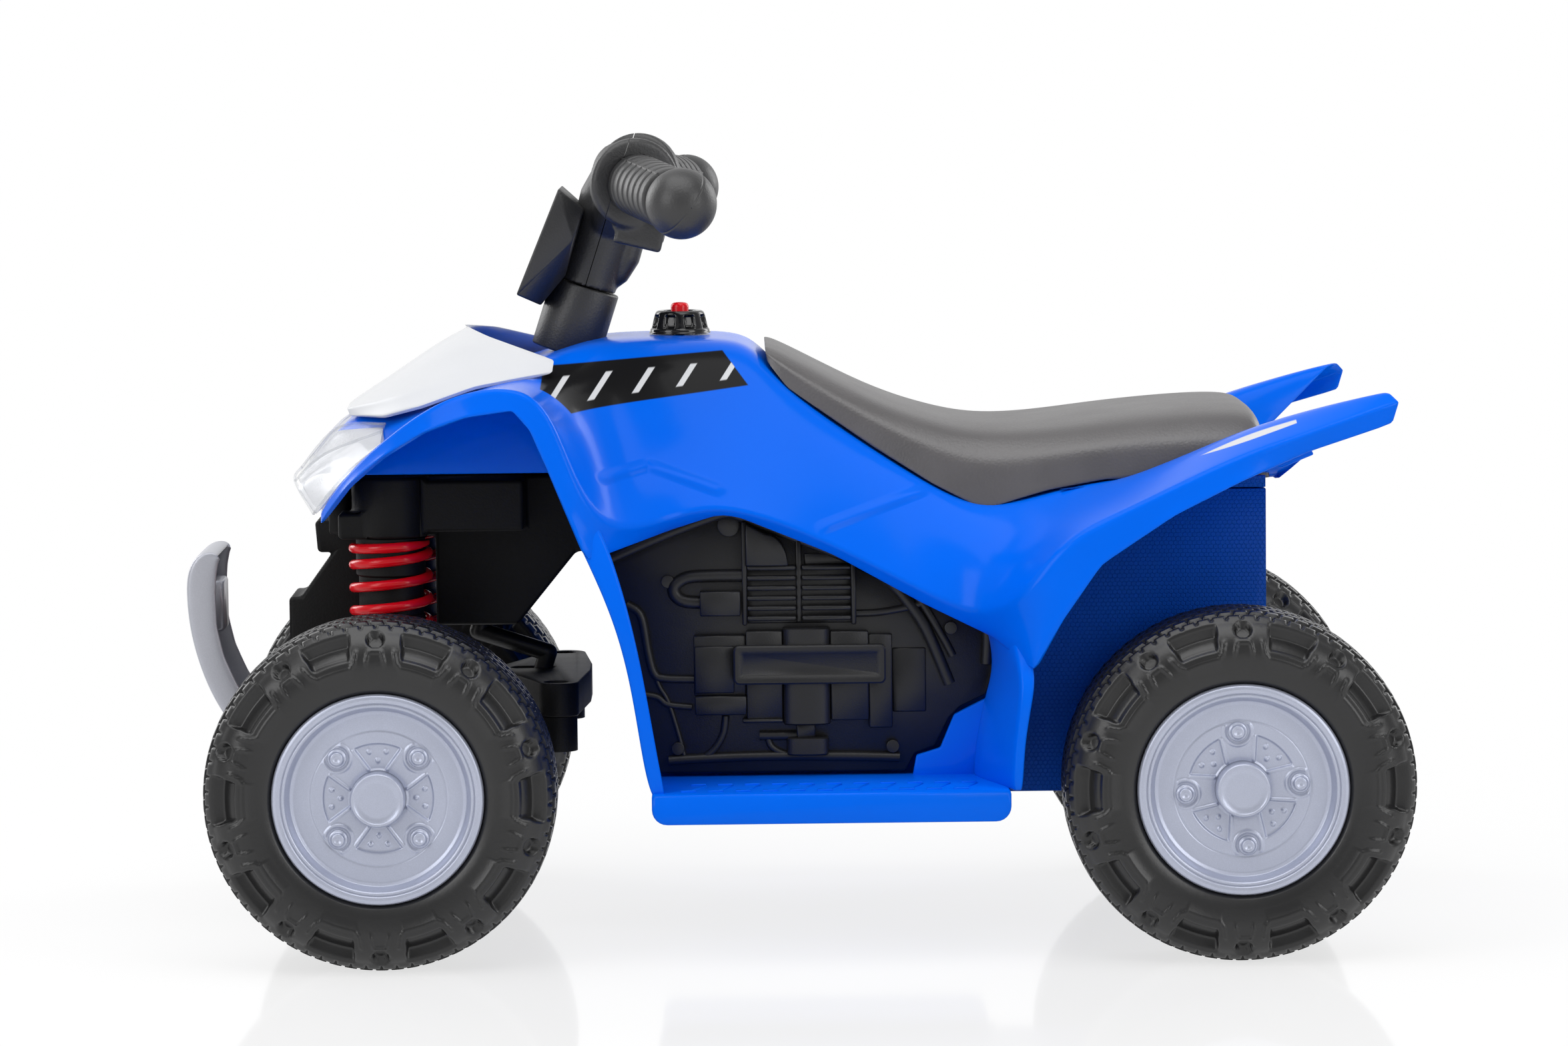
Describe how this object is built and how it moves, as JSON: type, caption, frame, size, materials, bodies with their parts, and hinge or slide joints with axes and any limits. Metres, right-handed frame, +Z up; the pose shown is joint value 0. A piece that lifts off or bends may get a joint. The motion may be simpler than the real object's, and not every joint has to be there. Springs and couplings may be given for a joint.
{
  "type": "ride-on quad bike",
  "caption": "Toddler ride-on electric quad bike in blue and black plastic, with a white nose cover, lugged wheels, ribbed handlebar grips, red strut coils and a moulded saddle.",
  "frame": {"origin": "on the floor, at the centre of the bounding box's bottom", "axes": "+X to the rear, +Y to the rider's right, +Z up"},
  "size_m": [0.655, 0.38, 0.4327],
  "materials": {
    "blue_shell": "glossy blue moulding",
    "white_cover": "glossy white moulding",
    "clear_lens": "clear moulded lens",
    "pale_reflector": "bright reflector",
    "black_plastic": "fine grained black moulding",
    "grey_plastic": "metallic grey moulding",
    "silver_plastic": "silver moulding",
    "red_plastic": "glossy red moulding",
    "tyre_black": "blow-moulded black tread",
    "steel": "plain steel",
    "gear_nylon": "white nylon",
    "battery_grey": "sealed battery case",
    "lead_cover": "insulated lead"
  },
  "bodies": {
    "chassis": {"body_shell": "blue_shell", "main_tub": "blue_shell", "front_carrier": "black_plastic", "front_bumper": "grey_plastic", "front_cowl": "white_cover", "headlight_lens_left": "clear_lens", "headlight_lens_right": "clear_lens", "headlight_bowls": "pale_reflector", "seat": "black_plastic", "side_panel_left": "black_plastic", "side_panel_right": "black_plastic", "panel_screws": "steel", "charge_socket": "black_plastic", "footrest_left": "blue_shell", "footrest_right": "blue_shell", "chassis_nuts": "steel", "kingpin_left": "black_plastic", "kingpin_right": "black_plastic", "spring_left": "red_plastic", "spring_right": "red_plastic", "fuel_cap": "black_plastic", "drive_switch": "black_plastic", "gearbox_case_inner": "black_plastic", "gearbox_case_outer": "black_plastic", "motor": "steel", "rear_axle": "steel", "battery": "battery_grey", "battery_strap": "black_plastic", "wiring_loom": "lead_cover"},
    "steering": {"steering_rod": "steel", "column_sleeve": "black_plastic", "handlebar_front_half": "black_plastic", "handlebar_rear_half": "black_plastic", "grip_left": "black_plastic", "grip_right": "black_plastic", "visor_pod": "black_plastic"},
    "steering_link": {"tie_bar": "black_plastic"},
    "left_knuckle": {"knuckle_left": "black_plastic", "stub_axle_left": "steel", "stub_nut_left": "steel"},
    "right_knuckle": {"knuckle_right": "black_plastic", "stub_axle_right": "steel", "stub_nut_right": "steel"},
    "second_gear": {"compound_gear": "gear_nylon"},
    "motor_shaft": {"motor_pinion": "steel"},
    "drive_button": {"go_button": "red_plastic"},
    "direction_rocker": {"direction_switch": "red_plastic"},
    "front_left_wheel": {"front_tyre_left": "tyre_black", "front_rim_left": "silver_plastic", "front_hub_cap_left": "silver_plastic"},
    "front_right_wheel": {"front_tyre_right": "tyre_black", "front_rim_right": "silver_plastic", "front_hub_cap_right": "silver_plastic"},
    "rear_left_wheel": {"rear_tyre_left": "tyre_black", "rear_rim_left": "silver_plastic", "rear_hub_cap_left": "silver_plastic"},
    "rear_right_wheel": {"rear_tyre_right": "tyre_black", "rear_rim_right": "silver_plastic", "rear_hub_cap_right": "silver_plastic", "drive_gear": "gear_nylon"}
  },
  "joints": [
    {"name": "steering_turn", "type": "hinge", "parent": "chassis", "child": "steering", "pos_m": [-0.117, 0, 0.323], "axis": [0.309, 0, 0.9511], "range_deg": [-30, 30]},
    {"name": "steering_link_slide", "type": "slide", "parent": "chassis", "child": "steering_link", "axis": [0, 1, 0], "range_m": [-0.0202, 0.0202]},
    {"name": "left_knuckle_turn", "type": "hinge", "parent": "chassis", "child": "left_knuckle", "pos_m": [-0.213, -0.072, 0.0925], "axis": [0, 0, 1], "range_deg": [-13.19, 13.19]},
    {"name": "front_left_spin", "type": "hinge", "parent": "left_knuckle", "child": "front_left_wheel", "pos_m": [-0.215, -0.152, 0.0925], "axis": [0, 1, 0], "continuous": true},
    {"name": "rear_left_spin", "type": "hinge", "parent": "chassis", "child": "rear_left_wheel", "pos_m": [0.235, -0.152, 0.0925], "axis": [0, 1, 0], "continuous": true},
    {"name": "right_knuckle_turn", "type": "hinge", "parent": "chassis", "child": "right_knuckle", "pos_m": [-0.213, 0.072, 0.0925], "axis": [0, 0, 1], "range_deg": [-13.19, 13.19]},
    {"name": "front_right_spin", "type": "hinge", "parent": "right_knuckle", "child": "front_right_wheel", "pos_m": [-0.215, 0.152, 0.0925], "axis": [0, 1, 0], "continuous": true},
    {"name": "rear_right_spin", "type": "hinge", "parent": "chassis", "child": "rear_right_wheel", "pos_m": [0.235, 0.152, 0.0925], "axis": [0, 1, 0], "continuous": true},
    {"name": "second_gear_spin", "type": "hinge", "parent": "chassis", "child": "second_gear", "pos_m": [0.20627, 0, 0.11661], "axis": [0, 1, 0], "continuous": true},
    {"name": "motor_spin", "type": "hinge", "parent": "chassis", "child": "motor_shaft", "pos_m": [0.21777, 0, 0.13652], "axis": [0, 1, 0], "continuous": true},
    {"name": "go_button_press", "type": "slide", "parent": "chassis", "child": "drive_button", "axis": [0, 0, 1], "range_m": [-0.0035, 0], "stiffness_N_per_m": 300},
    {"name": "direction_switch_tilt", "type": "hinge", "parent": "chassis", "child": "direction_rocker", "pos_m": [-0.05975, 0.101, 0.139], "axis": [0, 0, 1], "range_deg": [-8, 8]}
  ],
  "couplings": [
    {"joint": "steering_link_slide", "follows": "steering_turn", "m_per_rad": 0.038197},
    {"joint": "left_knuckle_turn", "follows": "steering_turn", "ratio": 0.43288},
    {"joint": "right_knuckle_turn", "follows": "steering_turn", "ratio": 0.43288},
    {"joint": "second_gear_spin", "follows": "rear_right_spin", "ratio": -4},
    {"joint": "motor_spin", "follows": "rear_right_spin", "ratio": 14.4}
  ]
}
